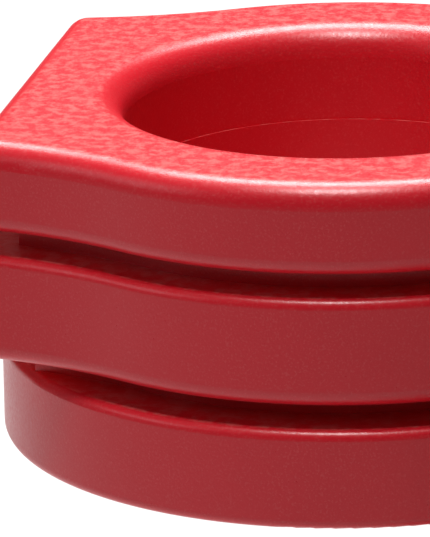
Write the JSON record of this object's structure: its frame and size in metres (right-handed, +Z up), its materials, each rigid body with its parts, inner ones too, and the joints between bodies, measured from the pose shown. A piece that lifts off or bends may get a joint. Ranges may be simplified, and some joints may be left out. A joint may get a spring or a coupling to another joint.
{
  "type": "water filled barrier",
  "caption": "Hollow moulded traffic barrier, ballasted with water, with a pivot lug at one end and a socket and post at the other.",
  "frame": {"origin": "middle of the footprint, on the ground", "axes": "+Z up, +X along the barrier from the lug to the post, -Y the front"},
  "size_m": [2.2708, 0.6, 0.925],
  "materials": {
    "red_plastic": "rotomoulded, fine orange peel",
    "black_plastic": "fine moulded grain",
    "grey_plastic": "extruded, satin",
    "seal_rubber": "matt",
    "foot_rubber": "rough",
    "brass": "turned",
    "zinc_steel": "zinc plated",
    "rivet_aluminium": "plain",
    "amber_lens": "prismatic reflector"
  },
  "bodies": {
    "barrier": {"shell": "red_plastic", "coupling_lug": "red_plastic", "lug_inserts": "brass", "lug_bolts": "zinc_steel", "lug_washers": "zinc_steel", "filler_insert": "black_plastic", "filler_gasket": "seal_rubber", "filler_hinge_pin": "zinc_steel", "drain_insert_front": "brass", "drain_insert_back": "brass", "fence_sleeve_left": "grey_plastic", "fence_sleeve_right": "grey_plastic", "post_insert": "brass", "lock_grip": "seal_rubber", "reflector_frame_front_1": "black_plastic", "reflector_frame_front_2": "black_plastic", "reflector_frame_front_3": "black_plastic", "reflector_frame_back_1": "black_plastic", "reflector_frame_back_2": "black_plastic", "reflector_frame_back_3": "black_plastic", "reflector_lens_front_1": "amber_lens", "reflector_lens_front_2": "amber_lens", "reflector_lens_front_3": "amber_lens", "reflector_lens_back_1": "amber_lens", "reflector_lens_back_2": "amber_lens", "reflector_lens_back_3": "amber_lens", "reflector_rivets": "rivet_aluminium", "foot_pad_1": "foot_rubber", "foot_pad_2": "foot_rubber", "foot_pad_3": "foot_rubber", "foot_pad_4": "foot_rubber", "foot_screws": "zinc_steel"},
    "filler_lid": {"filler_lid": "black_plastic"},
    "drain_seal_front": {"drain_seal_front": "seal_rubber"},
    "drain_plug_front": {"drain_plug_front": "black_plastic"},
    "drain_seal_back": {"drain_seal_back": "seal_rubber"},
    "drain_plug_back": {"drain_plug_back": "black_plastic"},
    "lock_plate": {"lock_disc": "black_plastic", "lock_washer": "zinc_steel"},
    "lock_screw": {"lock_stud": "zinc_steel", "lock_knob": "black_plastic", "lock_ring": "zinc_steel"}
  },
  "joints": [
    {"name": "filler_lid_hinge", "type": "hinge", "parent": "barrier", "child": "filler_lid", "pos_m": [0.181, 0, 0.91], "axis": [0, 1, 0], "range_deg": [0, 110]},
    {"name": "drain_front_out", "type": "slide", "parent": "barrier", "child": "drain_seal_front", "axis": [0, -1, 0], "range_m": [0, 0.0121]},
    {"name": "drain_front_turn", "type": "hinge", "parent": "drain_seal_front", "child": "drain_plug_front", "pos_m": [-0.632, -0.291, 0.052], "axis": [0, -1, 0], "range_deg": [0, 1080]},
    {"name": "drain_back_out", "type": "slide", "parent": "barrier", "child": "drain_seal_back", "axis": [0, 1, 0], "range_m": [0, 0.0121]},
    {"name": "drain_back_turn", "type": "hinge", "parent": "drain_seal_back", "child": "drain_plug_back", "pos_m": [0.858, 0.291, 0.052], "axis": [0, 1, 0], "range_deg": [0, 1080]},
    {"name": "lock_plate_lift", "type": "slide", "parent": "barrier", "child": "lock_plate", "axis": [0, 0, 1], "range_m": [0, 0.025]},
    {"name": "lock_screw_turn", "type": "hinge", "parent": "lock_plate", "child": "lock_screw", "pos_m": [0.9895, 0, 0.9], "axis": [0, 0, 1], "range_deg": [0, 1805]}
  ],
  "couplings": [
    {"joint": "drain_front_out", "follows": "drain_front_turn", "m_per_rad": 0.0006366},
    {"joint": "drain_back_out", "follows": "drain_back_turn", "m_per_rad": 0.0006366},
    {"joint": "lock_screw_turn", "follows": "lock_plate_lift", "rad_per_m": 1256.6}
  ]
}
